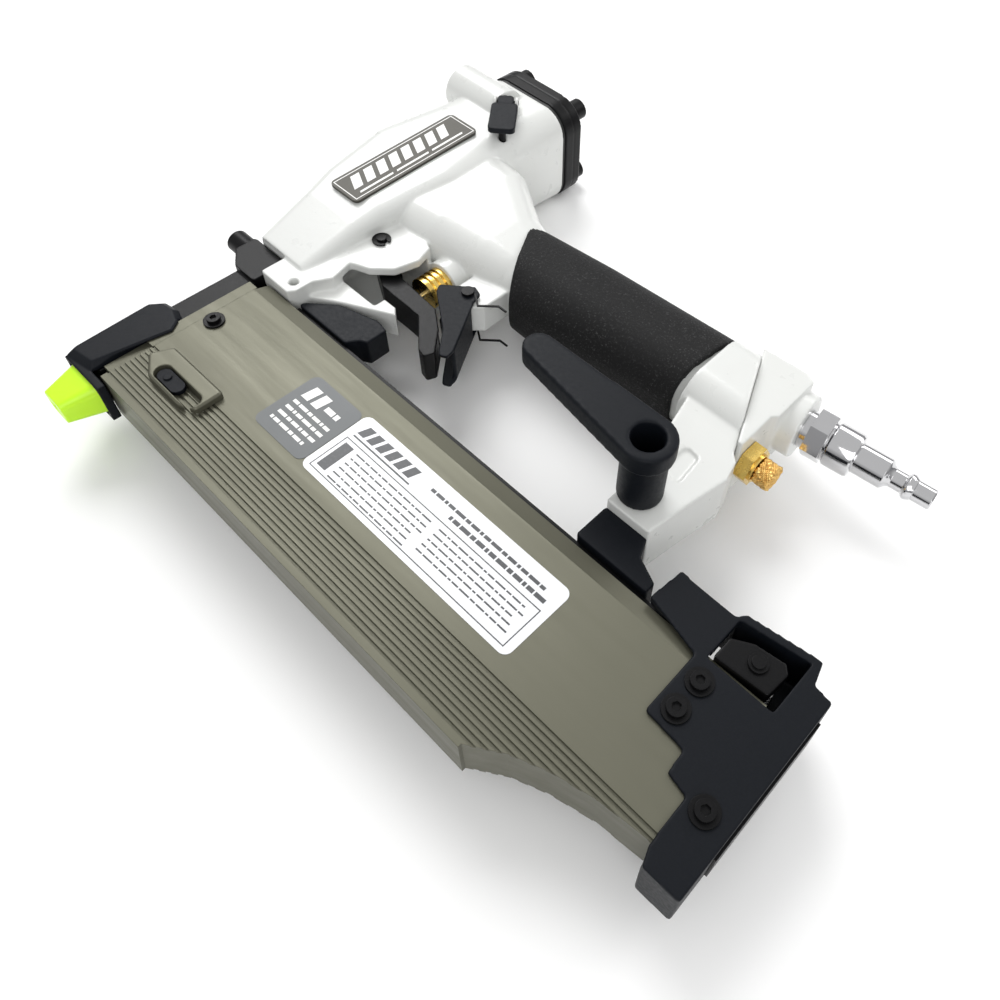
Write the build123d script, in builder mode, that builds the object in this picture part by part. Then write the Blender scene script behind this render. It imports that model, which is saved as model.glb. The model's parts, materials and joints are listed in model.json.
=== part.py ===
from build123d import *
import math
import os

os.makedirs("parts", exist_ok=True)

# Tool datum: driver axis, top edge of the magazine cover, mid-plane between the two sides.
# X runs back along the magazine, Y up the driver axis, Z out of the left side.
TOOL_X, TOOL_Y, TOOL_Z = -115.5, -47.0, 24.6
TOOL = Plane(origin=(TOOL_X, TOOL_Y, TOOL_Z))

# Driving dimensions, mm
CYLINDER_R = 17.0
SLEEVE_WALL = 2.4
CYLINDER_LOW, CYLINDER_HIGH = 62.0, 146.0
STROKE = 63.0
PISTON_H = 8.0
BUMPER_H = 12.0
BLADE_W, BLADE_T = 2.4, 0.9
NAIL_T = 0.8
RUNNING = 0.05
HALF_MAG = 10.0
MAG_FRONT, MAG_TAIL = 8.7, 246.8
CHANNEL_HALF = 4.4
CAVITY_LOW, CAVITY_LOW_REAR = -56.0, -40.0
RIB_COUNT, RIB_PITCH = 10, 1.9
CAP_SCREW_SPAN = 33.0
HANDLE_START, HANDLE_END = 56.0, 158.0
GRIP_WALL = 3.0
HOOK_X, HOOK_Y = 175.0, 33.0
TRIGGER_X, TRIGGER_Y = 22.0, 51.0
SAFETY_X, SAFETY_Y = 65.4, 57.6
VALVE_X = 47.0
PLUG_TILT = 6.0
TIP_CENTRE = 1.2
PLUG_NOSE_R = 5.935
PLUG_TIP_R = 3.95


def at(x, y, z):
    return TOOL.from_local_coords(Vector(x, y, z))


def side_at(z):
    return TOOL.offset(z)


def across_at(y):
    return Plane(at(0, y, 0), x_dir=(1, 0, 0), z_dir=(0, -1, 0))


def end_at(x):
    return Plane(at(x, 0, 0), x_dir=(0, 1, 0), z_dir=(1, 0, 0))


def save(piece, name):
    piece.label = name
    export_step(piece, f"parts/{name}.step")


def plate(points, low, high, corner=0.0, mode=Mode.ADD):
    """Flat piece between two heights, outlined by points seen from the left side."""
    with BuildSketch(side_at(low)) as outline:
        with BuildLine():
            Polyline(*points, close=True)
        make_face()
        if corner:
            fillet(outline.vertices(), corner)
    extrude(outline.sketch, amount=high - low, mode=mode)


def block(x, y, z, mode=Mode.ADD):
    """Box between two limits on each axis."""
    with BuildSketch(side_at(z[0])) as outline:
        with Locations(((x[0] + x[1]) / 2, (y[0] + y[1]) / 2)):
            Rectangle(x[1] - x[0], y[1] - y[0])
    extrude(outline.sketch, amount=z[1] - z[0], mode=mode)


def disc(plane, centre, radius, length, mode=Mode.ADD):
    """Cylinder that grows from a plane along its normal."""
    with BuildSketch(plane) as outline:
        with Locations(centre):
            Circle(radius)
    extrude(outline.sketch, amount=length, mode=mode)


def hexagon(plane, centre, radius, length, mode=Mode.ADD):
    with BuildSketch(plane) as outline:
        with Locations(centre):
            RegularPolygon(radius, 6)
    extrude(outline.sketch, amount=length, mode=mode)


def socket_screw(seat, centre, head_r, head_h, shank_r, shank_l):
    """Hex-socket screw: head above the seat plane, shank below it."""
    disc(seat, centre, head_r, head_h)
    hexagon(seat.offset(head_h), centre, head_r * 0.5, -head_h * 0.6, Mode.SUBTRACT)
    disc(seat, centre, shank_r, -shank_l)


def body_section(y, front, rear, half, corner):
    with BuildSketch(across_at(y)) as outline:
        with Locations(((front + rear) / 2, 0)):
            RectangleRounded(rear - front, 2 * half, corner)
    return outline.sketch


def handle_section(x, centre, half_y, half_z, corner):
    with BuildSketch(end_at(x)) as outline:
        with Locations((centre, 0)):
            RectangleRounded(2 * half_y, 2 * half_z, corner)
    return outline.sketch


def coil(plane, radius, wire, pitch, height):
    """Compression spring standing on a plane."""
    with BuildLine(plane) as path:
        Helix(pitch=pitch, height=height, radius=radius)
    with BuildSketch(path.line ^ 0) as section:
        Circle(wire)
    sweep(section.sketch, path=path.line)


BARREL = [
    (18, -13, 16, 13.5, 4),
    (44, -17.5, 17, 19.5, 5),
    (58, -21.5, 18.6, 22, 6),
    (90, -28.5, 22, 23.2, 7),
    (118, -28.4, 23.2, 23.8, 13),
    (136, -26.4, 24.4, 24.2, 14),
    (153.6, -24.4, 24.6, 24.2, 12),
]
HANDLE = [
    (14, 92, 31, 20, 12),
    (34, 92, 29, 20, 13),
    (HANDLE_START, 87.2, 20.5, 17.5, 13),
    (70, 87, 16.8, 15, 12),
    (HANDLE_END, 93.2, 16.8, 14.8, 12),
]
GRIP = [
    (54, 86.2, 18.6, 17.4, 15),
    (100, 87.6, 21, 19, 16),
    (HANDLE_END, 93.2, 19.4, 17.8, 15),
]
FENDER = [(4, 22), (17, 31.5), (31, 37), (38.3, 44), (41, 54), (38.5, 62), (30, 66), (4, 66)]
NOSE_BLOCK = [(0.2, 9), (4.5, 7), (20, 7), (22, 10), (22, 17), (26, 24), (22, 40), (0.2, 40)]
FIN = [(20, 13), (34, 21.5), (53, 31.5), (50, 34), (34, 34), (24, 30)]

# The nameplate leans back by the taper of the barrel.
LEAN = math.degrees(math.atan2(2.4, 60))
NAME_FACE = Plane(
    at(-1, 84.3, 22.9),
    x_dir=(0, math.cos(math.radians(LEAN)), math.sin(math.radians(LEAN))),
    z_dir=(0, -math.sin(math.radians(LEAN)), math.cos(math.radians(LEAN))),
)

# Duster lever hinge: X along the lever, Y along its pin
LEVER_ALONG = Vector(0.65, -0.76, -0.05).normalized()
LEVER_ACROSS = Vector(0.76, 0.65, 0).normalized()
HINGE = Plane(at(4, 137.6, 28.6), x_dir=LEVER_ALONG, z_dir=LEVER_ALONG.cross(LEVER_ACROSS))
HINGE_AXIS = Plane(HINGE.origin, x_dir=HINGE.x_dir * -1, z_dir=HINGE.y_dir)
DUSTER_STEM = (15.7, 123.9)

with BuildPart() as barrel:
    loft(sections=[body_section(*row) for row in BARREL], ruled=True)

with BuildPart() as handle_core:
    loft(sections=[handle_section(*row) for row in HANDLE], ruled=True)

# Body casting: barrel, handle, trigger guard, duster boss and nose block in one die casting
with BuildPart() as body_casting:
    add(barrel.part)
    add(handle_core.part)
    disc(end_at(-29.4), (141, 20), 10.4, 29.6)
    plate(FENDER, -12, 12)
    plate(NOSE_BLOCK, -12, 12)
    plate(FIN, -6, 6)
    disc(across_at(70), (VALVE_X, 0), 9, 10)
    plate([(58, 54), (69, 52.5), (74, 58), (74.5, 72), (58, 72)], -6.6, 6.6)
    # trigger slot and rail seat
    block((12, 43.5), (29, 59.5), (-8, 8), Mode.SUBTRACT)
    block((-20, 3.6), (0, 18.5), (-12.3, 12.3), Mode.SUBTRACT)
    disc(across_at(153.7), (0, 0), CYLINDER_R, 153.7 - CYLINDER_LOW, Mode.SUBTRACT)
    disc(across_at(CYLINDER_LOW), (0, 0), 3, CYLINDER_LOW - 6, Mode.SUBTRACT)
    # air passage along the handle, valve bore, duster bores, pin and screw holes
    with BuildSketch(end_at(36)) as passage:
        with Locations((88.5, 0)):
            RectangleRounded(22, 20, 8)
    extrude(passage.sketch, amount=124, mode=Mode.SUBTRACT)
    disc(across_at(58), (VALVE_X, 0), 6.05, -20, Mode.SUBTRACT)
    disc(end_at(-29.5), (141, 20), 5, 22, Mode.SUBTRACT)
    disc(side_at(-13), (TRIGGER_X, TRIGGER_Y), 2, 26, Mode.SUBTRACT)
    disc(side_at(-13), (17.4, 12.1), 1.9, 26, Mode.SUBTRACT)
    disc(side_at(-8), (SAFETY_X, SAFETY_Y), 1.5, 16, Mode.SUBTRACT)
    with BuildSketch(NAME_FACE) as recess:
        RectangleRounded(66, 17.4, 2.5)
    extrude(recess.sketch, amount=6, mode=Mode.SUBTRACT)
    disc(side_at(26), DUSTER_STEM, 1.65, -11, Mode.SUBTRACT)
    for side_x in (-0.5, 0.5):
        for side_z in (-0.5, 0.5):
            disc(across_at(154), (side_x * CAP_SCREW_SPAN, side_z * CAP_SCREW_SPAN), 2.1, 5.5,
                 Mode.SUBTRACT)
    for low in (-5.6, 4):
        with BuildSketch(HINGE_AXIS.offset(low)) as ear:
            Circle(2.6)
            with Locations((0, -3)):
                Rectangle(5.2, 6)
        extrude(ear.sketch, amount=1.6)
    disc(HINGE_AXIS.offset(-6), (0, 0), 1, 12, Mode.SUBTRACT)
save(body_casting.part, "body_casting")

with BuildPart() as nameplate:
    with BuildSketch(NAME_FACE) as outline:
        RectangleRounded(66, 17.4, 2.5)
    extrude(outline.sketch, amount=1.2)
save(nameplate.part, "nameplate")

with BuildPart() as grip_sleeve:
    loft(sections=[handle_section(*row) for row in GRIP], ruled=True)
    add(handle_core.part, mode=Mode.SUBTRACT)
    plate([(50, 60), (82, 60), (52, 112), (50, 112)], -30, 30, mode=Mode.SUBTRACT)
    plate([(153, 60), (170, 60), (170, 120), (159, 120)], -30, 30, mode=Mode.SUBTRACT)
save(grip_sleeve.part, "grip_sleeve")

# Rear casting: handle end and the post down to the magazine
with BuildPart() as rear_casting:
    with BuildSketch(end_at(HANDLE_END)) as start:
        with Locations((93.2, 0)):
            RectangleRounded(40, 35.6, 14)
    extrude(start.sketch, amount=34)
    plate([(186.2, 70.9), (172.2, 101.7), (160, 128.5), (200, 128.5), (200, 60)], -20, 20,
          mode=Mode.SUBTRACT)
    plate([(160, 78), (164, 62), (168.5, 50), (169.5, 40), (169.5, 23.3), (187, 23.3), (189.5, 40),
           (192.6, 57), (190.5, 65), (187.4, 67.8), (186.2, 70.9), (178, 89)], -12, 12)
    plate([(174.2, 46.5), (182, 43.4), (180.5, 57.5), (174.2, 58.5)], 10.8, 12, 1.8, Mode.SUBTRACT)
    disc(side_at(2), (HOOK_X, HOOK_Y), 2.5, 10, Mode.SUBTRACT)
    disc(across_at(23.3), (178, 0), 2.5, -14, Mode.SUBTRACT)
    with BuildSketch(end_at(150)) as bore:
        with Locations((93, 0)):
            Circle(7)
    extrude(bore.sketch, amount=40, mode=Mode.SUBTRACT)
save(rear_casting.part, "rear_casting")

# End cap: inlet boss and exhaust seat, split from the rear casting along the slanted seam
PORT = Plane(
    at(195.5, 103.6, 0),
    x_dir=(-math.sin(math.radians(PLUG_TILT)), math.cos(math.radians(PLUG_TILT)), 0),
    z_dir=(math.cos(math.radians(PLUG_TILT)), math.sin(math.radians(PLUG_TILT)), 0),
)
with BuildPart() as end_cap:
    plate([(186.2, 70.9), (172.2, 101.7), (167.2, 112.7), (186, 114), (190, 112), (190, 90),
           (188.2, 88), (188.2, 70.9)], -14, 14)
    disc(PORT, (0, 0), 12.6, -20)
    plate([(186.3, 70.9), (172.3, 101.7), (160, 128.5), (160, 70)], -20, 20, mode=Mode.SUBTRACT)
    disc(PORT, (0, 0), 6.5, -16, Mode.SUBTRACT)
    disc(end_at(189), (76.6, 0), 5, -6, Mode.SUBTRACT)
save(end_cap.part, "end_cap")

# Cylinder head
with BuildPart() as cap_gasket:
    with BuildSketch(across_at(155)) as outline:
        RectangleRounded(48.6, 48, 12)
        Circle(CYLINDER_R, mode=Mode.SUBTRACT)
        with GridLocations(CAP_SCREW_SPAN, CAP_SCREW_SPAN, 2, 2):
            Circle(2.2, mode=Mode.SUBTRACT)
    extrude(outline.sketch, amount=1.4)
save(cap_gasket.part, "cap_gasket")

with BuildPart() as cylinder_cap:
    with BuildSketch(across_at(165)) as outline:
        RectangleRounded(50, 49.2, 12.5)
    extrude(outline.sketch, amount=4.2)
    with BuildSketch(across_at(160.8)) as outline:
        RectangleRounded(48, 47.2, 11.5)
    extrude(outline.sketch, amount=0.8)
    with BuildSketch(across_at(160)) as outline:
        RectangleRounded(50, 49.2, 12.5)
    extrude(outline.sketch, amount=5)
    disc(across_at(161), (0, 0), CYLINDER_R, 6, Mode.SUBTRACT)
    for side_x in (-0.5, 0.5):
        for side_z in (-0.5, 0.5):
            centre = (side_x * CAP_SCREW_SPAN, side_z * CAP_SCREW_SPAN)
            disc(across_at(166), centre, 2.2, 12, Mode.SUBTRACT)
save(cylinder_cap.part, "cylinder_cap")

with BuildPart() as cap_screws:
    for side_x in (-0.5, 0.5):
        for side_z in (-0.5, 0.5):
            centre = (side_x * CAP_SCREW_SPAN, side_z * CAP_SCREW_SPAN)
            disc(across_at(172), centre, 4.7, 7)
            disc(across_at(165), centre, 2.1, 16)
            hexagon(across_at(172), centre, 2.6, 3.5, Mode.SUBTRACT)
save(cap_screws.part, "cap_screws")

# Drive line
with BuildPart() as cylinder_sleeve:
    with BuildSketch(across_at(CYLINDER_HIGH)) as outline:
        Circle(CYLINDER_R)
        Circle(CYLINDER_R - SLEEVE_WALL, mode=Mode.SUBTRACT)
    extrude(outline.sketch, amount=CYLINDER_HIGH - CYLINDER_LOW)
    for y in (70, 140):
        with BuildSketch(across_at(y)) as groove:
            Circle(CYLINDER_R)
            Circle(CYLINDER_R - 1.5, mode=Mode.SUBTRACT)
        extrude(groove.sketch, amount=2.4, mode=Mode.SUBTRACT)
save(cylinder_sleeve.part, "cylinder_sleeve")

with BuildPart() as sleeve_seals:
    for y in (70, 140):
        with BuildSketch(across_at(y - 0.1)) as outline:
            Circle(CYLINDER_R)
            Circle(CYLINDER_R - 1.5, mode=Mode.SUBTRACT)
        extrude(outline.sketch, amount=2.2)
save(sleeve_seals.part, "sleeve_seals")

BORE_R = CYLINDER_R - SLEEVE_WALL
with BuildPart() as bumper:
    with BuildSketch(across_at(CYLINDER_LOW + BUMPER_H)) as outline:
        Circle(BORE_R)
        Circle(3, mode=Mode.SUBTRACT)
    extrude(outline.sketch, amount=BUMPER_H)
save(bumper.part, "bumper")

with BuildPart() as piston:
    disc(across_at(CYLINDER_HIGH), (0, 0), BORE_R - RUNNING, PISTON_H)
    with BuildSketch(across_at(CYLINDER_HIGH - 2.5)) as groove:
        Circle(BORE_R)
        Circle(BORE_R - 2, mode=Mode.SUBTRACT)
    extrude(groove.sketch, amount=2.6, mode=Mode.SUBTRACT)
    disc(across_at(CYLINDER_HIGH), (0, 0), 8, 3, Mode.SUBTRACT)
save(piston.part, "piston")

with BuildPart() as piston_ring:
    with BuildSketch(across_at(CYLINDER_HIGH - 2.6)) as outline:
        Circle(BORE_R - 0.02)
        Circle(BORE_R - 2, mode=Mode.SUBTRACT)
    extrude(outline.sketch, amount=2.4)
save(piston_ring.part, "piston_ring")

BLADE_TOP = CYLINDER_HIGH - PISTON_H
with BuildPart() as driver_blade:
    block((-BLADE_W / 2, BLADE_W / 2), (0, BLADE_TOP), (-BLADE_T / 2, BLADE_T / 2))
save(driver_blade.part, "driver_blade")

with BuildPart() as head_valve:
    with BuildSketch(across_at(152)) as outline:
        Circle(CYLINDER_R - RUNNING)
        Circle(9, mode=Mode.SUBTRACT)
    extrude(outline.sketch, amount=5.5)
save(head_valve.part, "head_valve")

# Nose
with BuildPart() as nose_rail:
    plate([(-7.8, -60.5), (3.4, -60.5), (3.4, 6.4), (-7.8, 6.4)], -7, 7)
    plate([(-17, 8.5), (-9, 3), (3.4, 3), (3.4, 17.8), (-17, 17.8)], -9, 9, 1.2)
    plate([(-4, -73), (3.4, -73), (3.4, -60.5), (-4, -60.5)], -3.6, 3.6)
    block((-1.7, 3.5), (-74, 18), (-1, 1), Mode.SUBTRACT)
    block((-9, -5.6), (-28, 2), (-4.5, 4.5), Mode.SUBTRACT)
    disc(end_at(-17.5), (14.2, 4), 2.1, 12, Mode.SUBTRACT)
save(nose_rail.part, "nose_rail")

with BuildPart() as front_bolt:
    disc(end_at(-26), (14.2, 4), 4.6, 9)
    disc(end_at(-17), (14.2, 4), 2.1, 10)
    hexagon(end_at(-26), (14.2, 4), 2.5, 4, Mode.SUBTRACT)
save(front_bolt.part, "front_bolt")

with BuildPart() as front_strip:
    plate([(3.5, -42), (8.3, -42), (8.3, 1.5), (3.5, 1.5)], -9.6, 9.6)
    plate([(3.5, -58.5), (8.3, -58.5), (8.3, -42), (3.5, -42)], -8.2, 8.2)
    block((3.4, 8.4), (-59, 2), (-2.4, 2.4), Mode.SUBTRACT)
save(front_strip.part, "front_strip")

with BuildPart() as nose_cover:
    with BuildSketch(side_at(-9.8)) as outline:
        with BuildLine():
            Polyline((-12.4, -31.6), (-8.6, -26.8), (-2, -25.6), (5, -28), (8.4, -33), (2.6, -62.6),
                     (-9.8, -64.8), (-11.2, -61.2), close=True)
        make_face()
    extrude(outline.sketch, amount=20.6)
    chamfer(nose_cover.faces().sort_by(Axis.Z)[-1].edges(), 2)
    block((-9.9, 12.3), (-65.8, -62.6), (-8.6, 8.6))
    block((-8.1, 3.7), (-67, -20), (-7.3, 7.3), Mode.SUBTRACT)
    block((3, 9), (-62.3, -20), (-9.9, 9.9), Mode.SUBTRACT)
    with BuildSketch(across_at(-62.9)) as collar:
        with Locations((TIP_CENTRE, 0)):
            RectangleRounded(20.2, 15.8, 4)
    extrude(collar.sketch, amount=4, mode=Mode.SUBTRACT)
save(nose_cover.part, "nose_cover")

with BuildPart() as no_mar_tip:
    with BuildSketch(across_at(-63.2)) as base:
        with Locations((TIP_CENTRE, 0)):
            RectangleRounded(19.6, 15.2, 4)
    with BuildSketch(across_at(-78)) as end:
        with Locations((TIP_CENTRE, 0)):
            RectangleRounded(11.6, 10.2, 2.6)
    loft(sections=[base.sketch, end.sketch], ruled=True)
    block((-4.4, 3.8), (-73.4, -61), (-4, 4), Mode.SUBTRACT)
    block((-2, 2), (-79, -74), (-1.4, 1.4), Mode.SUBTRACT)
save(no_mar_tip.part, "no_mar_tip")

# Trigger group
with BuildPart() as trigger:
    plate([(17, 53), (21, 56), (27, 55), (38, 46), (62, 44), (71, 37.6), (79, 28.6), (77.4, 24.8),
           (73.4, 25.6), (60, 37), (38, 37.5), (22, 46)], -7, 7, 1)
    plate([(16, 60), (27.5, 58), (38, 47.5), (61, 45.5), (81, 29.6), (76, 29.4), (72, 32.8), (61, 39),
           (38, 39.5), (22, 48), (14, 50)], -5.7, 5.7, mode=Mode.SUBTRACT)
    block((44, 50), (39, 43.2), (-6, 6))
    disc(side_at(-8), (TRIGGER_X, TRIGGER_Y), 2.05, 16, Mode.SUBTRACT)
save(trigger.part, "trigger")

with BuildPart() as trigger_pin:
    disc(side_at(-12.6), (TRIGGER_X, TRIGGER_Y), 2, 26.4)
    with BuildSketch(side_at(12.3)) as groove:
        with Locations((TRIGGER_X, TRIGGER_Y)):
            Circle(2)
            Circle(1.5, mode=Mode.SUBTRACT)
    extrude(groove.sketch, amount=0.7, mode=Mode.SUBTRACT)
save(trigger_pin.part, "trigger_pin")

with BuildPart() as e_clip:
    with BuildSketch(side_at(12.35)) as outline:
        with Locations((TRIGGER_X, TRIGGER_Y)):
            Circle(3.8)
            Circle(1.5, mode=Mode.SUBTRACT)
        with Locations((TRIGGER_X + 3, TRIGGER_Y)):
            Rectangle(6, 2, mode=Mode.SUBTRACT)
    extrude(outline.sketch, amount=0.6)
save(e_clip.part, "e_clip")

with BuildPart() as safety_lever:
    for low in (7.4, -8.7):
        plate([(65, 62), (69.2, 60.6), (70.6, 56), (84.2, 33.2), (84.8, 29.6), (82, 28.2),
               (79.4, 30.8), (73, 38), (56, 49.6), (54, 53)], low, low + 1.3, 1)
    plate([(72.4, 53), (84, 34), (82.9, 33), (71.3, 52)], -8, 8)
    disc(side_at(-9), (SAFETY_X, SAFETY_Y), 1.55, 18, Mode.SUBTRACT)
save(safety_lever.part, "safety_lever")

with BuildPart() as safety_pin:
    disc(side_at(-9.2), (SAFETY_X, SAFETY_Y), 1.5, 18.4)
    disc(side_at(9.0), (SAFETY_X, SAFETY_Y), 2.5, 1)
    disc(side_at(-9.0), (SAFETY_X, SAFETY_Y), 2.5, -1)
save(safety_pin.part, "safety_pin")

with BuildPart() as safety_spring:
    for low in (9.3, -9.9):
        plate([(68.4, 58.2), (74, 54.5), (80, 60), (84, 60), (84, 60.7), (79.6, 60.7), (74, 55.4),
               (68.8, 58.9)], low, low + 0.6)
save(safety_spring.part, "safety_spring")

with BuildPart() as valve_cap:
    disc(across_at(60), (VALVE_X, 0), 7, 10)
    for y in (52.4, 55, 57.6):
        with BuildSketch(across_at(y + 0.6)) as groove:
            with Locations((VALVE_X, 0)):
                Circle(7.2)
                Circle(6.1, mode=Mode.SUBTRACT)
        extrude(groove.sketch, amount=1.2, mode=Mode.SUBTRACT)
    disc(across_at(76), (VALVE_X, 0), 6, 16)
    disc(across_at(77), (VALVE_X, 0), 1.55, 28, Mode.SUBTRACT)
save(valve_cap.part, "valve_cap")

with BuildPart() as valve_stem:
    disc(across_at(70), (VALVE_X, 0), 1.5, 26.4)
save(valve_stem.part, "valve_stem")

# Air duster
with BuildPart() as duster_nozzle:
    disc(end_at(-30), (141, 20), 7.8, 0.6)
    disc(end_at(-29.4), (141, 20), 5, 14)
    disc(end_at(-31), (141, 20), 1.6, 18, Mode.SUBTRACT)
save(duster_nozzle.part, "duster_nozzle")

with BuildPart() as duster_lever:
    with BuildSketch(HINGE) as outline:
        with Locations((13, 0)):
            RectangleRounded(18.4, 11.6, 2)
    extrude(outline.sketch, amount=2.6)
    with BuildSketch(HINGE.offset(-1.4)) as lug:
        with Locations((1.6, 0)):
            RectangleRounded(7.6, 7, 1.6)
    extrude(lug.sketch, amount=3.6)
    disc(HINGE_AXIS.offset(-6), (0, 0), 1.05, 12, Mode.SUBTRACT)
save(duster_lever.part, "duster_lever")

with BuildPart() as duster_pin:
    disc(HINGE_AXIS.offset(-5.6), (0, 0), 1, 11.2)
save(duster_pin.part, "duster_pin")

with BuildPart() as duster_stem:
    disc(side_at(17), DUSTER_STEM, 1.6, 10.3)
save(duster_stem.part, "duster_stem")

# Fixed rail and its two brackets
with BuildPart() as fixed_rail:
    plate([(8.8, -1.6), (8.8, 6), (23, 6), (23, 9), (222, 9), (222, 4), (219, 4), (219, -1.6)],
          -4, 4)
save(fixed_rail.part, "fixed_rail")

with BuildPart() as front_bracket:
    plate([(23, 9), (51, 9), (54, 13.5), (57, 15), (57, 24), (51, 25), (34, 20), (24, 11.5)],
          -6, 6, 0.8)
save(front_bracket.part, "front_bracket")

with BuildPart() as rear_bracket:
    plate([(169.5, 9), (199, 9), (199, 13), (190, 17), (187, 23.3), (169.5, 23.3)], -8, 8, 0.8)
    disc(across_at(24), (178, 0), 2.5, 10, Mode.SUBTRACT)
save(rear_bracket.part, "rear_bracket")

# Sliding magazine
COVER_SIDE = [(-62, -10), (0, -10), (6, -8), (6, 8), (0, 10), (-62, 10)]
with BuildPart() as magazine_cover:
    with BuildSketch(end_at(MAG_FRONT)) as outline:
        with BuildLine():
            Polyline(*COVER_SIDE, close=True)
        make_face()
        for side in (-1, 1):
            for rib in range(RIB_COUNT):
                with Locations((-42 - rib * RIB_PITCH, side * HALF_MAG)):
                    Rectangle(0.9, 1.4, mode=Mode.SUBTRACT)
    extrude(outline.sketch, amount=MAG_TAIL - MAG_FRONT)
    block((MAG_FRONT - 1, 190), (CAVITY_LOW, 7), (-CHANNEL_HALF, CHANNEL_HALF), Mode.SUBTRACT)
    block((180, MAG_TAIL + 1), (CAVITY_LOW_REAR, 7), (-CHANNEL_HALF, CHANNEL_HALF), Mode.SUBTRACT)
    plate([(193, -70), (193, -60.8), (204, -54), (215.4, -49.6), (230, -46), (245.2, -44.4),
           (250, -44), (250, -70)], -11, 11, mode=Mode.SUBTRACT)
    plate([(15, -45), (45, -45), (45, -38), (15, -38)], 7, 10, mode=Mode.SUBTRACT)
    disc(side_at(7), (12.9, -19.8), 1.65, 4, Mode.SUBTRACT)
save(magazine_cover.part, "magazine_cover")

with BuildPart() as magazine_label:
    with BuildSketch(side_at(HALF_MAG)) as outline:
        with Locations((135.6, -21.9)):
            RectangleRounded(97, 28.4, 3)
    extrude(outline.sketch, amount=0.15)
save(magazine_label.part, "magazine_label")

with BuildPart() as size_sticker:
    with BuildSketch(side_at(HALF_MAG)) as outline:
        with Locations((73.6, -22.4)):
            RectangleRounded(26.4, 27, 3)
    extrude(outline.sketch, amount=0.15)
save(size_sticker.part, "size_sticker")

with BuildPart() as pocket_cover:
    plate([(15.2, -44.8), (44.8, -44.8), (44.8, -38.2), (15.2, -38.2)], 7, 10)
    with BuildSketch(side_at(10)) as outline:
        with BuildLine():
            Polyline((13, -45.5), (17, -37.6), (46.8, -37.4), (46.8, -48), (40.5, -51), (22, -51),
                     close=True)
        make_face()
        fillet(outline.vertices(), 1.4)
    extrude(outline.sketch, amount=3)
    chamfer(pocket_cover.faces().sort_by(Axis.Z)[-1].edges(), 0.7)
    with BuildSketch(side_at(8.4)) as slot:
        with Locations((33.5, -46.6)):
            SlotOverall(24, 6.4)
    extrude(slot.sketch, amount=6, mode=Mode.SUBTRACT)
save(pocket_cover.part, "pocket_cover")

with BuildPart() as guide_slider:
    with BuildSketch(side_at(10.3)) as outline:
        with Locations((29, -46.6)):
            SlotOverall(13, 5.4)
    extrude(outline.sketch, amount=1.6)
    disc(side_at(11.9), (27, -46.6), 1.5, 0.6)
save(guide_slider.part, "guide_slider")

with BuildPart() as cover_washer:
    disc(side_at(HALF_MAG), (12.9, -19.8), 3.9, 0.8)
    disc(side_at(HALF_MAG - 1), (12.9, -19.8), 1.7, 3, Mode.SUBTRACT)
save(cover_washer.part, "cover_washer")

with BuildPart() as cover_screw:
    socket_screw(side_at(HALF_MAG + 0.8), (12.9, -19.8), 2.5, 1.4, 1.65, 3.2)
save(cover_screw.part, "cover_screw")

BRACKET = [(201.6, 7.2), (203, 20.6), (222.4, 20), (224.6, 20.4), (226.4, 23), (251.5, 26.6),
           (253.6, 19), (260.2, 18), (260.2, -50.4), (248.2, -50.6), (246.1, -45.4),
           (245.6, -30), (238.2, -28.6), (237.6, -21.2), (230.4, -20.6), (223, -20), (222.6, 2.4)]
with BuildPart() as tail_bracket:
    plate(BRACKET, -11.4, 11.4, 0.9)
    # room for the cover's tail, the rail's end and the latch
    plate([(190, -70), (247, -70), (247, 6.2), (190, 6.2)], -10.02, 10.02, mode=Mode.SUBTRACT)
    plate([(190, 6.2), (226, 6.2), (226, 19.4), (190, 19.4)], -11.5, 7.6, mode=Mode.SUBTRACT)
    plate([(226, 4), (249.5, 4), (249.5, 23.6), (226, 20)], -7, 12, mode=Mode.SUBTRACT)
save(tail_bracket.part, "tail_bracket")

with BuildPart() as tail_plate:
    plate([(260.2, -36), (261, -36), (261, 12), (260.2, 12)], -8.5, 8.5)
save(tail_plate.part, "tail_plate")

TAIL_SCREWS = [(229.1, -3.4), (229.1, -14), (251.7, -29.7)]
with BuildPart() as tail_washers:
    for centre in TAIL_SCREWS:
        with BuildSketch(side_at(11.4)) as ring:
            with Locations(centre):
                Circle(4.4)
                Circle(1.8, mode=Mode.SUBTRACT)
        extrude(ring.sketch, amount=0.7)
save(tail_washers.part, "tail_washers")

with BuildPart() as tail_screws:
    for centre in TAIL_SCREWS:
        socket_screw(side_at(12.1), centre, 3, 1.5, 1.75, 0.7)
save(tail_screws.part, "tail_screws")

LATCH_PIN = (237.9, 13.2)
with BuildPart() as latch_lever:
    plate([(227, 6), (245.5, 7.4), (246.3, 16.5), (244, 19), (233.5, 17.6), (227, 14)], 4.4, 10.4,
          0.8)
    disc(side_at(0), LATCH_PIN, 2.3, 12, Mode.SUBTRACT)
save(latch_lever.part, "latch_lever")

with BuildPart() as latch_pin:
    disc(side_at(-1), LATCH_PIN, 2.25, 12)
    disc(side_at(10.4), LATCH_PIN, 3.2, 0.9)
    disc(side_at(11.3), LATCH_PIN, 2.2, 0.7)
save(latch_pin.part, "latch_pin")

with BuildPart() as latch_spring:
    coil(Plane(at(243.6, 11.2, -6.3)), 2.2, 0.4, 1.7, 10.2)
save(latch_spring.part, "latch_spring")

NAIL_END = 90.0
with BuildPart() as nail_strip:
    block((1.8, NAIL_END), (-52, -2), (-NAIL_T / 2, NAIL_T / 2))
save(nail_strip.part, "nail_strip")

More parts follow.
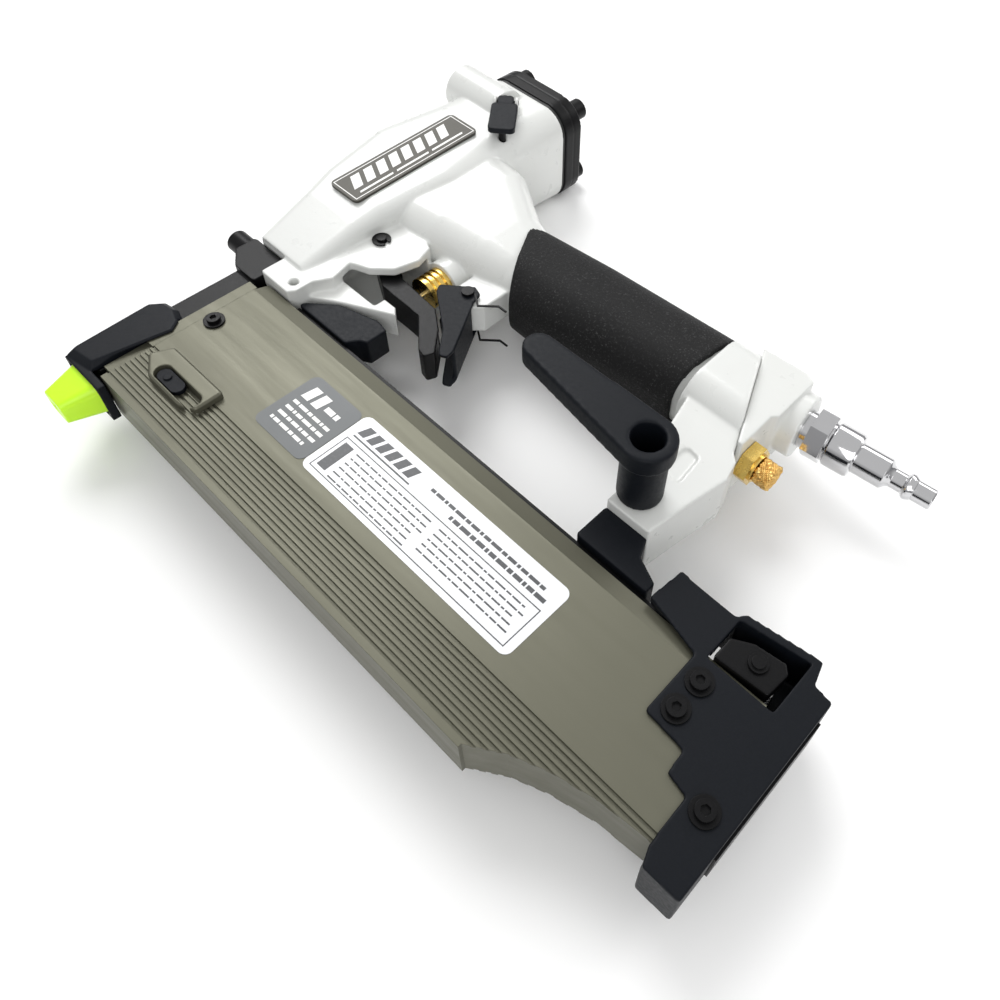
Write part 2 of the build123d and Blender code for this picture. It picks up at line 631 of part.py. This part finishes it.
with BuildPart() as pusher:
    plate([(NAIL_END, -53), (112, -53), (112, -24), (98, -16), (NAIL_END, -4)], -3.6, 3.6)
    disc(side_at(-3.7), (103, -40), 6.6, 8, Mode.SUBTRACT)
save(pusher.part, "pusher")

with BuildPart() as pusher_spring:
    with BuildSketch(side_at(-3.2)) as outline:
        with Locations((103, -40)):
            Circle(6.6)
            Circle(3, mode=Mode.SUBTRACT)
    extrude(outline.sketch, amount=6.4)
save(pusher_spring.part, "pusher_spring")

# Belt hook
HOOK_LOW, HOOK_ARM, HOOK_HIGH = 12.3, 34.0, 42.0
TIP_X, TIP_Y = 125.5, 36.2
with BuildPart() as belt_hook:
    with BuildSketch(side_at(HOOK_LOW)) as outline:
        with Locations((HOOK_X, HOOK_Y)):
            Circle(7.9)
    extrude(outline.sketch, amount=HOOK_ARM - HOOK_LOW)
    with BuildSketch(side_at(HOOK_ARM)) as arm:
        with Locations((HOOK_X, HOOK_Y)):
            Circle(9.6)
        with Locations((TIP_X, TIP_Y)):
            Circle(5.6)
        with BuildLine():
            Polyline((HOOK_X - 1.3, HOOK_Y + 9.5), (TIP_X - 0.1, TIP_Y + 5.6),
                     (TIP_X - 0.8, TIP_Y - 5.5), (HOOK_X - 2, HOOK_Y - 9.4), close=True)
        make_face()
    extrude(arm.sketch, amount=HOOK_HIGH - HOOK_ARM)
    disc(side_at(HOOK_HIGH), (HOOK_X, HOOK_Y), 5.5, -26, Mode.SUBTRACT)
    disc(side_at(0), (HOOK_X, HOOK_Y), 2.6, 20, Mode.SUBTRACT)
save(belt_hook.part, "belt_hook")

with BuildPart() as hook_screw:
    disc(side_at(3), (HOOK_X, HOOK_Y), 2.5, 13.4)
    disc(side_at(16.4), (HOOK_X, HOOK_Y), 4.6, 4)
    hexagon(side_at(20.4), (HOOK_X, HOOK_Y), 2.4, -2.6, Mode.SUBTRACT)
save(hook_screw.part, "hook_screw")

# Air inlet and exhaust
with BuildPart() as plug_adapter:
    disc(PORT.offset(-10), (0, 0), 6.5, 10)
    disc(PORT, (0, 0), 7.4, 2.8)
    hexagon(PORT.offset(2.8), (0, 0), 9.8, 7)
    disc(PORT.offset(9.8), (0, 0), 7.6, 0.8)
    disc(PORT.offset(-11), (0, 0), 3, 30, Mode.SUBTRACT)
save(plug_adapter.part, "plug_adapter")

AIR_PLUG = [(10.9, 8.6, 21.4), (21.4, PLUG_NOSE_R, 33.4), (33.4, 4.9, 35), (35, 3.7, 40),
            (40, 5, 42.6), (42.6, 4.3, 43.6), (43.6, PLUG_TIP_R, 50.6)]
with BuildPart() as air_plug:
    for start, radius, stop in AIR_PLUG:
        disc(PORT.offset(start), (0, 0), radius, stop - start)
    disc(PORT.offset(10), (0, 0), 2.8, 42, Mode.SUBTRACT)
save(air_plug.part, "air_plug")

with BuildPart() as muffler_base:
    disc(end_at(186.6), (76.6, 0), 4.9, 1.8)
    hexagon(end_at(188.4), (76.6, 0), 8, 5)
    disc(end_at(193.4), (76.6, 0), 5.6, 1)
    disc(end_at(183), (76.6, 0), 2, 12, Mode.SUBTRACT)
save(muffler_base.part, "muffler_base")

with BuildPart() as muffler_core:
    disc(end_at(194.4), (76.6, 0), 5.2, 7.4)
    fillet(muffler_core.edges().filter_by(GeomType.CIRCLE).group_by(Axis.X)[-1], 1.6)
save(muffler_core.part, "muffler_core")
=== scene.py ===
import bpy
import bmesh
import json
import math
from mathutils import Matrix, Vector


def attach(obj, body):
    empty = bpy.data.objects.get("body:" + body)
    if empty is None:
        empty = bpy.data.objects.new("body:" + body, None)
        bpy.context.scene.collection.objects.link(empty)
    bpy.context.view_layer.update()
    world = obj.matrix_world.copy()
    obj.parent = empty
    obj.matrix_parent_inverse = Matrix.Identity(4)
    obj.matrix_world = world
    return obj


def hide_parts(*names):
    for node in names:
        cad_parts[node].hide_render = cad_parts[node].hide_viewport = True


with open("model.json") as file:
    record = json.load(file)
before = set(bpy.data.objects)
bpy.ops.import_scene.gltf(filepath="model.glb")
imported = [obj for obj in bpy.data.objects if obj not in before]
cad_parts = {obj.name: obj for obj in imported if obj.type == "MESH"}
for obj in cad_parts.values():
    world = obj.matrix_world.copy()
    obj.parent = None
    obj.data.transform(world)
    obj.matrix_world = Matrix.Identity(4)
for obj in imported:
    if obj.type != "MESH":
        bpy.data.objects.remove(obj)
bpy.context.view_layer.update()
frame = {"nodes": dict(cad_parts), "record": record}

MM = 0.001
SHARP = math.radians(28)                       # edges sharper than this stay crisp
TOOL = Vector((-115.5, -47.0, 24.6)) * MM      # driver axis, cover's top edge, mid-plane
NODES = frame["nodes"]
BODY = {n: b for b, ns in frame["record"]["behaviour"]["bodies"].items() for n in ns}
SLOT = {s["node"]: s["material_slot"] for s in frame["record"]["subparts"]}


def at(x, y, z):
    """Tool coordinates in mm to the row frame in metres."""
    return TOOL + Vector((x, y, z)) * MM


# ---------------------------------------------------------------- materials
class Mat:
    """Node material with one Principled shader and small helpers to build its inputs."""

    def __init__(self, name, color, rough, metal=0.0, **sockets):
        self.m = bpy.data.materials.new(name)
        self.m.use_nodes = True
        self.t = self.m.node_tree
        self.b = self.t.nodes["Principled BSDF"]
        self.b.inputs["Base Color"].default_value = (*color, 1)
        self.b.inputs["Roughness"].default_value = rough
        self.b.inputs["Metallic"].default_value = metal
        for k, v in sockets.items():
            self.b.inputs[k.replace("_", " ")].default_value = v
        self.m.diffuse_color = (*color, 1)
        tc = self.t.nodes.new("ShaderNodeTexCoord")
        self.co = tc.outputs["Object"]
        self.normal = None

    def node(self, kind, **props):
        n = self.t.nodes.new(kind)
        for k, v in props.items():
            setattr(n, k, v)
        return n

    def link(self, a, b):
        self.t.links.new(a, b)

    def noise(self, scale, detail=4.0, rough=0.55, stretch=None):
        co = self.co
        if stretch:
            mp = self.node("ShaderNodeMapping")
            mp.inputs["Scale"].default_value = stretch
            self.link(co, mp.inputs["Vector"])
            co = mp.outputs["Vector"]
        n = self.node("ShaderNodeTexNoise")
        n.inputs["Scale"].default_value = scale
        n.inputs["Detail"].default_value = detail
        n.inputs["Roughness"].default_value = rough
        self.link(co, n.inputs["Vector"])
        return n.outputs["Fac"]

    def span(self, value, low, high, to_low=0.0, to_high=1.0):
        n = self.node("ShaderNodeMapRange", clamp=True)
        for i, v in zip(("From Min", "From Max", "To Min", "To Max"), (low, high, to_low, to_high)):
            n.inputs[i].default_value = v
        self.link(value, n.inputs["Value"])
        return n.outputs["Result"]

    def tint(self, fac, other):
        """Mixes another colour over the base colour where fac is 1."""
        n = self.node("ShaderNodeMix", data_type="RGBA")
        src = self.b.inputs["Base Color"]
        if src.is_linked:
            self.link(src.links[0].from_socket, n.inputs["A"])
        else:
            n.inputs["A"].default_value = src.default_value
        n.inputs["B"].default_value = (*other, 1)
        self.link(fac, n.inputs["Factor"])
        self.link(n.outputs["Result"], src)
        return self

    def vary_rough(self, value, low, high):
        self.link(self.span(value, 0.3, 0.7, low, high), self.b.inputs["Roughness"])
        return self

    def round_edges(self, radius_mm):
        n = self.node("ShaderNodeBevel", samples=4)
        n.inputs["Radius"].default_value = radius_mm * MM
        self.normal = n.outputs["Normal"]
        self.link(self.normal, self.b.inputs["Normal"])
        return self

    def bump(self, height, strength, distance_mm):
        n = self.node("ShaderNodeBump")
        n.inputs["Strength"].default_value = strength
        n.inputs["Distance"].default_value = distance_mm * MM
        self.link(height, n.inputs["Height"])
        if self.normal:
            self.link(self.normal, n.inputs["Normal"])
        self.normal = n.outputs["Normal"]
        self.link(self.normal, self.b.inputs["Normal"])
        return self


def make_materials():
    out = {}
    m = Mat("white_casting", (0.68, 0.69, 0.67), 0.36, Coat_Weight=0.35, Coat_Roughness=0.15)
    m.tint(m.span(m.noise(35, 3), 0.35, 0.75, 0, 0.5), (0.655, 0.66, 0.635))
    m.vary_rough(m.noise(160, 4), 0.26, 0.36)
    m.round_edges(0.5).bump(m.noise(520, 3), 0.12, 0.25)
    out["white_casting"] = m.m

    m = Mat("black_plastic", (0.005, 0.0063, 0.009), 0.44, Specular_IOR_Level=0.14)
    m.tint(m.span(m.noise(1800, 4), 0.45, 0.75, 0, 0.6), (0.0075, 0.009, 0.0125))
    m.vary_rough(m.noise(900, 3), 0.4, 0.52)
    m.round_edges(0.4).bump(m.noise(2600, 3), 0.2, 0.08)
    out["black_plastic"] = m.m

    m = Mat("black_steel", (0.0035, 0.0035, 0.004), 0.36, Specular_IOR_Level=0.16)
    m.tint(m.span(m.noise(2200, 4), 0.5, 0.75, 0, 0.6), (0.0055, 0.0055, 0.006))
    m.vary_rough(m.noise(1400, 3), 0.3, 0.42)
    m.round_edges(0.3).bump(m.noise(2400, 3), 0.1, 0.04)
    out["black_steel"] = m.m

    m = Mat("olive_aluminium", (0.118, 0.116, 0.084), 0.42, 0.5)
    m.tint(m.span(m.noise(22, 3), 0.35, 0.7, 0, 0.4), (0.135, 0.132, 0.098))
    grain = m.noise(240, 5, 0.6, (0.06, 1, 1))
    m.vary_rough(grain, 0.38, 0.5)
    m.round_edges(0.25).bump(grain, 0.1, 0.05)
    out["olive_aluminium"] = m.m

    m = Mat("taupe_plate", (0.05, 0.047, 0.038), 0.45, 0.3)
    m.tint(m.span(m.noise(900, 4), 0.4, 0.7, 0, 0.6), (0.062, 0.058, 0.048))
    m.round_edges(0.2).bump(m.noise(1500, 3), 0.2, 0.06)
    out["taupe_plate"] = m.m

    m = Mat("label_film", (0.79, 0.8, 0.82), 0.34, Coat_Weight=0.2, Coat_Roughness=0.15)
    m.tint(m.span(m.noise(25, 3), 0.4, 0.7, 0, 0.5), (0.76, 0.77, 0.79))
    m.bump(m.noise(90, 2), 0.06, 0.2)
    out["label_film"] = m.m

    m = Mat("grey_film", (0.09, 0.097, 0.1), 0.42, 0.1)
    m.tint(m.span(m.noise(60, 4), 0.4, 0.7, 0, 0.5), (0.105, 0.112, 0.115))
    m.bump(m.noise(500, 3), 0.1, 0.08)
    out["grey_film"] = m.m

    m = Mat("grip_rubber", (0.006, 0.006, 0.0063), 0.66, Specular_IOR_Level=0.25)
    v = m.node("ShaderNodeTexVoronoi")
    v.inputs["Scale"].default_value = 620
    m.link(m.co, v.inputs["Vector"])
    m.tint(m.span(m.noise(1300, 4, 0.75), 0.56, 0.68, 0, 0.9), (0.07, 0.07, 0.07))
    m.tint(m.span(m.noise(40, 3), 0.4, 0.7, 0, 0.6), (0.009, 0.009, 0.0095))
    m.bump(m.noise(1300, 5, 0.7), 0.75, 0.35)
    m.bump(v.outputs["Distance"], 0.4, 0.25)
    out["grip_rubber"] = m.m

    m = Mat("lime_rubber", (0.56, 0.93, 0.012), 0.34, Subsurface_Weight=0.3)
    m.b.inputs["Subsurface Radius"].default_value = (0.004, 0.005, 0.001)
    m.b.inputs["Subsurface Scale"].default_value = 0.5
    m.tint(m.span(m.noise(80, 3), 0.4, 0.7, 0, 0.5), (0.5, 0.88, 0.005))
    m.round_edges(0.4).bump(m.noise(700, 3), 0.1, 0.1)
    out["lime_rubber"] = m.m

    m = Mat("brass", (0.86, 0.62, 0.18), 0.2, 1.0)
    m.tint(m.span(m.noise(200, 4), 0.4, 0.7, 0, 0.6), (0.74, 0.48, 0.12))
    m.vary_rough(m.noise(500, 4), 0.16, 0.32)
    m.round_edges(0.2).bump(m.noise(1200, 3), 0.1, 0.05)
    out["brass"] = m.m

    m = Mat("sintered_bronze", (0.9, 0.6, 0.2), 0.3, 0.9)
    m.tint(m.span(m.noise(700, 4), 0.4, 0.65, 0, 0.9), (0.62, 0.34, 0.09))
    m.bump(m.noise(2500, 3), 0.3, 0.08)
    out["sintered_bronze"] = m.m

    m = Mat("chrome", (0.62, 0.62, 0.63), 0.1, 1.0)
    m.vary_rough(m.noise(500, 4), 0.05, 0.14)
    m.round_edges(0.25).bump(m.noise(900, 2), 0.03, 0.05)
    out["chrome"] = m.m

    m = Mat("steel", (0.5, 0.5, 0.5), 0.24, 1.0)
    m.tint(m.span(m.noise(260, 4), 0.4, 0.7, 0, 0.6), (0.36, 0.355, 0.35))
    m.vary_rough(m.noise(600, 4), 0.18, 0.36)
    m.round_edges(0.15).bump(m.noise(1500, 3), 0.1, 0.04)
    out["steel"] = m.m

    m = Mat("seal_rubber", (0.012, 0.012, 0.012), 0.5)
    m.tint(m.span(m.noise(300, 3), 0.4, 0.7), (0.02, 0.02, 0.02))
    m.bump(m.noise(1500, 3), 0.2, 0.06)
    out["seal_rubber"] = m.m

    m = Mat("bumper_rubber", (0.2, 0.07, 0.03), 0.5)
    m.tint(m.span(m.noise(200, 3), 0.4, 0.7), (0.15, 0.05, 0.02))
    m.bump(m.noise(900, 3), 0.2, 0.1)
    out["bumper_rubber"] = m.m

    m = Mat("dark_ink", (0.05, 0.053, 0.058), 0.4)
    m.tint(m.span(m.noise(900, 3), 0.5, 0.75), (0.075, 0.078, 0.082))
    out["dark_ink"] = m.m
    m = Mat("white_ink", (0.82, 0.82, 0.8), 0.4)
    m.tint(m.span(m.noise(900, 3), 0.5, 0.75), (0.72, 0.72, 0.7))
    out["white_ink"] = m.m
    return out


MATS = make_materials()
for name, obj in NODES.items():
    obj.data.materials.clear()
    obj.data.materials.append(MATS[SLOT[name]])
    for poly in obj.data.polygons:
        poly.material_index = 0


# ---------------------------------------------------------------- mesh helpers
def piece(name, mesh, body, slot, replaces=(), smooth=True):
    """New object with one material that rides a body and may stand for a CAD node."""
    obj = bpy.data.objects.new(name, mesh)
    bpy.context.scene.collection.objects.link(obj)
    mesh.materials.clear()
    mesh.materials.append(MATS[slot])
    for poly in mesh.polygons:
        poly.material_index = 0
        poly.use_smooth = smooth
    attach(obj, body)
    if replaces:
        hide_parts(*replaces)
    return obj


def soften(node, voxel_mm, rounds):
    """Die-cast or moulded look: the node's own shape, remeshed and relaxed so its edges round off."""
    src = NODES[node]
    work = bpy.data.objects.new("work_" + node, src.data.copy())
    bpy.context.scene.collection.objects.link(work)
    re = work.modifiers.new("remesh", "REMESH")
    re.mode = "VOXEL"
    re.voxel_size = voxel_mm * MM
    sm = work.modifiers.new("relax", "SMOOTH")
    sm.factor = 0.5
    sm.iterations = rounds
    graph = bpy.context.evaluated_depsgraph_get()
    mesh = bpy.data.meshes.new_from_object(work.evaluated_get(graph))
    bpy.data.objects.remove(work)
    return piece(node + "_moulded", mesh, BODY[node], SLOT[node], (node,))


SOFT = {
    "body_casting": (0.5, 6), "rear_casting": (0.5, 6), "end_cap": (0.5, 6),
    "belt_hook": (0.6, 14), "tail_bracket": (0.5, 3), "nose_cover": (0.35, 3),
    "no_mar_tip": (0.35, 3), "grip_sleeve": (0.6, 5), "trigger": (0.3, 3),
    "safety_lever": (0.3, 3), "duster_lever": (0.25, 3), "latch_lever": (0.3, 3),
    "front_bracket": (0.4, 3), "rear_bracket": (0.4, 3), "pocket_cover": (0.25, 3),
    "cylinder_cap": (0.4, 2), "nose_rail": (0.4, 2),
}
for node, (voxel, rounds) in SOFT.items():
    soften(node, voxel, rounds)

for name, obj in NODES.items():
    if name not in SOFT:
        obj.data.set_sharp_from_angle(angle=SHARP)


# ---------------------------------------------------------------- printed marks, plug, exhaust core
LEAN = math.atan2(2.4, 60)                     # the nameplate leans back with the barrel's taper
NAMEPLATE, NAMEPLATE_THICK = Vector((-1, 84.3, 22.9)), 1.2
LABEL_TOP = 10.15
LABEL = (135.6, -21.9, LABEL_TOP)
STICKER = (73.6, -22.4, LABEL_TOP)
MARK_HEIGHT = 0.06
FLAT = (Vector((1, 0, 0)), Vector((0, 1, 0)), Vector((0, 0, 1)))
ALONG_BARREL = (Vector((0, math.cos(LEAN), math.sin(LEAN))), Vector((-1, 0, 0)),
                Vector((0, -math.sin(LEAN), math.cos(LEAN))))


def printed(name, marks, origin, axes, body, slot):
    """One mesh of thin raised marks; each mark is a four-cornered outline on a flat face, in mm."""
    bm = bmesh.new()
    u, v, w = axes
    base = at(*origin)
    for mark in marks:
        low = [bm.verts.new(base + (u * a + v * b) * MM) for a, b in mark]
        top = [bm.verts.new(base + (u * a + v * b + w * MARK_HEIGHT) * MM) for a, b in mark]
        bm.faces.new(top)
        bm.faces.new(low[::-1])
        for i in range(4):
            j = (i + 1) % 4
            bm.faces.new((low[i], low[j], top[j], top[i]))
    bmesh.ops.recalc_face_normals(bm, faces=bm.faces)
    mesh = bpy.data.meshes.new(name)
    bm.to_mesh(mesh)
    bm.free()
    return piece(name, mesh, body, slot, smooth=False)


def bar(x, y, length, height, slant=0.0):
    """Upright or slanted bar from its lower left corner."""
    return [(x, y), (x + length, y), (x + length + slant, y + height), (x + slant, y + height)]


def frame_marks(x, y, length, height, line):
    """Four bars round a box."""
    return [bar(x, y, length, line), bar(x, y + height - line, length, line),
            bar(x, y + line, line, height - 2 * line),
            bar(x + length - line, y + line, line, height - 2 * line)]


def text_rows(x, y, length, rows, pitch, height, seed):
    """Rows of short dashes of uneven length, as fine print looks from a distance."""
    marks = []
    for row in range(rows):
        along = 0.0
        step = seed + row * 3
        while along < length - 2:
            dash = 1.2 + (step * 7 % 5) * 0.75
            dash = min(dash, length - along)
            marks.append(bar(x + along, y - row * pitch, dash, height))
            along += dash + 0.6
            step += 1
    return marks


label_marks = [bar(-45 + 4.6 * i, 6.6, 3.2, 4.6, 1.6) for i in range(6)]
label_marks += [bar(-45, 4.9, 28.4, 0.6)]
label_marks += text_rows(-10, 8.6, 54, 1, 2, 1.2, 3)
label_marks += text_rows(2, 5.4, 43, 1, 2, 1.5, 5)
label_marks += frame_marks(-46, -12.2, 91.5, 15.6, 0.35)
label_marks += text_rows(-38, 0.6, 38, 6, 2.35, 0.55, 2)
label_marks += text_rows(3, 0.6, 40, 5, 2.35, 0.55, 4)
label_marks += [bar(-44.4, -10.4, 4.2, 12, 0)]
printed("label_print", label_marks, LABEL, FLAT, "magazine", "dark_ink")

sticker_marks = [bar(-9.5 + 5.2 * i, 3.6, 3.6, 6.2, 1.0) for i in range(2)]
sticker_marks += text_rows(1.4, 5, 9, 1, 2, 2.2, 2)
sticker_marks += text_rows(-9.5, 0.2, 19.5, 4, 3.1, 1.3, 6)
printed("sticker_print", sticker_marks, STICKER, FLAT, "magazine", "white_ink")

plate_marks = [bar(-28.5 + 6.6 * i, -2.2, 4.4, 7.6, 3.6) for i in range(8)]
plate_marks += [bar(-28 + 19 * i, -5.4, 17, 1.0, 0.5) for i in range(3)]
plate_marks += frame_marks(-31.8, -7.5, 63.6, 15, 0.4)
printed("plate_print", plate_marks, NAMEPLATE + ALONG_BARREL[2] * NAMEPLATE_THICK,
        ALONG_BARREL, "housing", "white_ink")

TILT = math.radians(6)
PORT = (195.5, 103.6, 0)
PORT_AXIS = Vector((math.cos(TILT), math.sin(TILT), 0))


def turned(name, profile, origin, axis, body, slot, replaces, sides=72):
    """Closed turned piece: profile of (distance, radius) in mm about an axis."""
    side = axis.orthogonal().normalized()
    other = axis.cross(side)
    base = at(*origin)
    bm = bmesh.new()
    rings = []
    for along, radius in profile:
        ring = []
        for k in range(sides):
            a = 2 * math.pi * k / sides
            offset = side * math.cos(a) + other * math.sin(a)
            ring.append(bm.verts.new(base + (axis * along + offset * radius) * MM))
        rings.append(ring)
    for i, ring in enumerate(rings):
        following = rings[(i + 1) % len(rings)]
        for k in range(sides):
            j = (k + 1) % sides
            bm.faces.new((ring[k], ring[j], following[j], following[k]))
    bmesh.ops.recalc_face_normals(bm, faces=bm.faces)
    mesh = bpy.data.meshes.new(name)
    bm.to_mesh(mesh)
    bm.free()
    mesh.set_sharp_from_angle(angle=SHARP)
    return piece(name, mesh, body, slot, replaces)


plug = [(10.9, 2.8), (10.9, 8.1), (11.4, 8.6), (20.0, 8.6), (20.9, 8.2), (21.4, 7.0), (21.4, 5.935),
        (32.6, 5.935), (33.4, 5.3), (33.8, 4.6), (35.2, 3.7), (39.6, 3.7), (40.2, 4.6), (40.8, 5.0),
        (41.8, 5.0), (42.5, 4.7), (43.4, 4.3), (43.6, 3.95), (50.1, 3.95), (50.6, 3.5), (50.6, 2.8)]
turned("plug_turned", plug, PORT, PORT_AXIS, "air_plug", "chrome", ("air_plug",))

core = bmesh.new()
CORE_START = (194.4, 76.6, 0)
centre = at(*CORE_START)


def grain(x, radius, angle, size):
    """One grain of the exhaust core, at a distance and a radius about the muffler's axis, in mm."""
    matrix = Matrix.Translation(centre + Vector((x, radius * math.cos(angle),
                                                 radius * math.sin(angle))) * MM)
    bmesh.ops.create_icosphere(core, subdivisions=1, radius=size * MM, matrix=matrix)


GOLDEN = math.pi * (3 - math.sqrt(5))
for k in range(330):
    grain(0.5 + 5.6 * k / 330, 4.55, k * GOLDEN, 0.52 + 0.08 * (k % 3))
for k in range(110):
    grain(6.6 - 0.9 * (k / 110) ** 2, 4.4 * math.sqrt(k / 110), k * GOLDEN, 0.52 + 0.08 * (k % 3))
for k in range(30):
    grain(1 + k * 0.16, 2 + 1.6 * (k % 2), k * GOLDEN, 1.9)
core_mesh = bpy.data.meshes.new("sintered_grains")
core.to_mesh(core_mesh)
core.free()
piece("sintered_grains", core_mesh, "housing", "sintered_bronze", ("muffler_core",))

# ---------------------------------------------------------------- floor, light, camera
floor_mesh = bpy.data.meshes.new("floor")
bm = bmesh.new()
bmesh.ops.create_grid(bm, x_segments=2, y_segments=2, size=6)
bm.to_mesh(floor_mesh)
bm.free()
floor = bpy.data.objects.new("floor", floor_mesh)
bpy.context.scene.collection.objects.link(floor)
m = Mat("floor_paper", (0.96, 0.96, 0.957), 0.75)
m.tint(m.span(m.noise(4, 2), 0.4, 0.7, 0, 0.4), (0.945, 0.945, 0.94))
floor.data.materials.append(m.m)

world = bpy.data.worlds.new("studio")
bpy.context.scene.world = world
world.use_nodes = True
wt = world.node_tree
bg = wt.nodes["Background"]
geo = wt.nodes.new("ShaderNodeTexCoord")
sep = wt.nodes.new("ShaderNodeSeparateXYZ")
ramp = wt.nodes.new("ShaderNodeValToRGB")
wt.links.new(geo.outputs["Generated"], sep.inputs[0])
wt.links.new(sep.outputs["Z"], ramp.inputs["Fac"])
ramp.color_ramp.elements[0].position = 0.0
ramp.color_ramp.elements[0].color = (0.3, 0.3, 0.31, 1)
ramp.color_ramp.elements[1].position = 0.45
ramp.color_ramp.elements[1].color = (1, 1, 1, 1)
wt.links.new(ramp.outputs["Color"], bg.inputs["Color"])
bg.inputs["Strength"].default_value = 0.72


def area(name, loc, target, size, power):
    """Soft rectangular light that faces a target."""
    data = bpy.data.lights.new(name, "AREA")
    data.shape = "RECTANGLE"
    data.size, data.size_y = size
    data.energy = power
    obj = bpy.data.objects.new(name, data)
    bpy.context.scene.collection.objects.link(obj)
    obj.location = loc
    obj.rotation_euler = (Vector(target) - Vector(loc)).to_track_quat("-Z", "Y").to_euler()
    return obj


area("key", (-1.35, 0.75, 1.75), (0, 0, 0), (1.2, 1.2), 30)
area("fill", (1.2, -1.3, 1.3), (0, 0, 0), (1.4, 1.4), 14)
area("back", (0.2, 1.1, 0.7), (0, 0, 0.02), (0.9, 0.4), 3.5)

cam = bpy.data.cameras.new("camera")
cam.lens = 32.94
cam.sensor_width = 36.0
cam.shift_x = -0.1
cam.shift_y = -0.104
cam.clip_start = 0.01
cam_obj = bpy.data.objects.new("camera", cam)
bpy.context.scene.collection.objects.link(cam_obj)
cam_obj.location = (0.1513, -0.1544, 0.2851)
cam_obj.rotation_euler = (math.radians(39.52), math.radians(-3.27), math.radians(42.47))
bpy.context.scene.camera = cam_obj
bpy.context.scene.view_settings.view_transform = "Standard"
bpy.context.scene.view_settings.look = "None"
